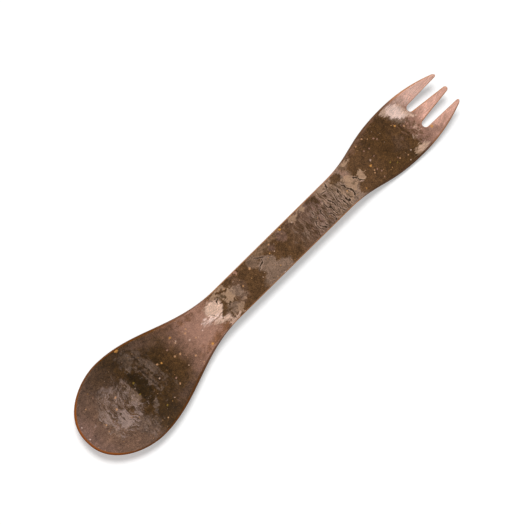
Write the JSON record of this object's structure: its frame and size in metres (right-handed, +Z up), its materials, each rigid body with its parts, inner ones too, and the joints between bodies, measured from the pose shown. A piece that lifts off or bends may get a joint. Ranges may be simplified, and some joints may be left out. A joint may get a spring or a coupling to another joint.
{
  "type": "spork",
  "caption": "Double-ended eating utensil with a deep spoon bowl at one end, a flat handle and a dished fork with rounded tines at the other, in bark-patterned plastic.",
  "frame": {"origin": "under the middle of the piece, on the surface that it lies on", "axes": "+X along the piece towards the fork, +Y across it, +Z up out of the bowl"},
  "size_m": [0.17, 0.0334, 0.0103],
  "materials": {
    "patterned_plastic": "satin"
  },
  "bodies": {
    "root": {"spoon_bowl": "patterned_plastic", "handle": "patterned_plastic", "fork_palm": "patterned_plastic", "left_tine": "patterned_plastic", "middle_tine": "patterned_plastic", "right_tine": "patterned_plastic"}
  },
  "joints": []
}
